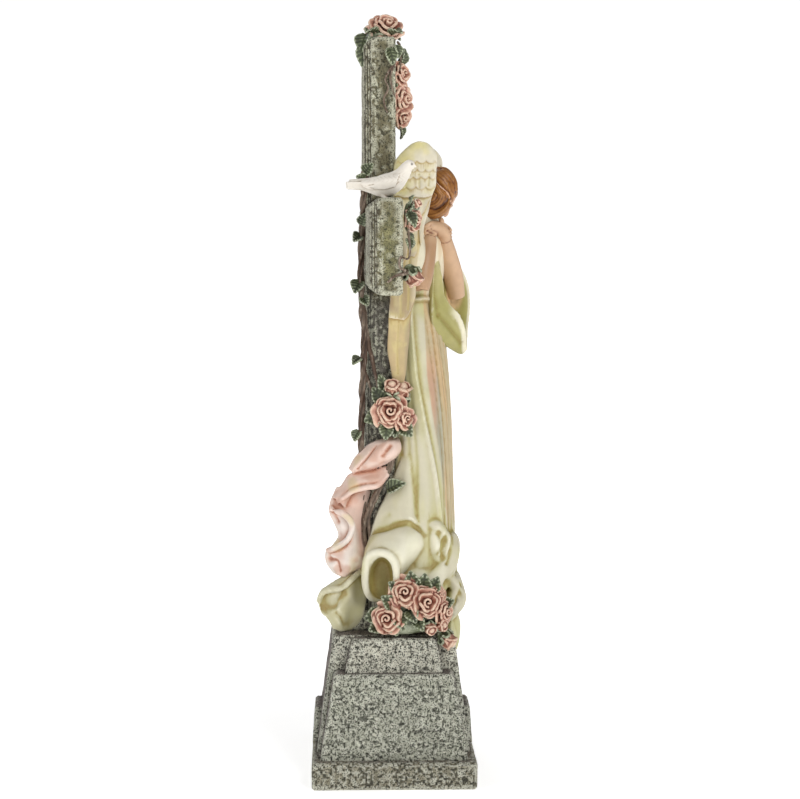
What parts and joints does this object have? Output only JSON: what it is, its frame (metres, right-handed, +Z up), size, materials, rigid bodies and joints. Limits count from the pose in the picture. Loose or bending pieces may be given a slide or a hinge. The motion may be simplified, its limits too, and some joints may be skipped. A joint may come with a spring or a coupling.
{
  "type": "angel memorial statue",
  "caption": "Painted cast-stone statuette of a praying winged angel before a tall cross on a stepped plinth, with a resting dove and climbing roses.",
  "frame": {"origin": "centre of the plinth's underside", "axes": "+Z up the cross, -Y the side that the angel faces, +X the angel's left"},
  "size_m": [0.1641, 0.0764, 0.3576],
  "materials": {
    "plinth_stone": "pitted grey-green granite look, dark wash in the pits, pale worn edges",
    "cross_stone": "mottled grey-green stone look with pale dry-brushed edges",
    "painted_figure": "hand-painted cast stone: cream gown with yellow-green folds, pink sash, auburn hair, brown antique wash",
    "dove_white": "white satin paint with a thin grey-brown wash in the feather lines",
    "vine_bark": "brown bark paint with pale dry-brushed ridges, dark green leaves",
    "rose_paint": "coral-pink petals with cream dry-brushed lips, dark green leaves with whitish edges"
  },
  "bodies": {
    "root": {"plinth": "plinth_stone", "cross": "cross_stone", "angel": "painted_figure", "dove": "dove_white", "vine": "vine_bark", "waist_roses": "rose_paint", "foot_roses": "rose_paint", "crown_roses": "rose_paint", "post_roses": "rose_paint", "arm_roses": "rose_paint"}
  },
  "joints": []
}
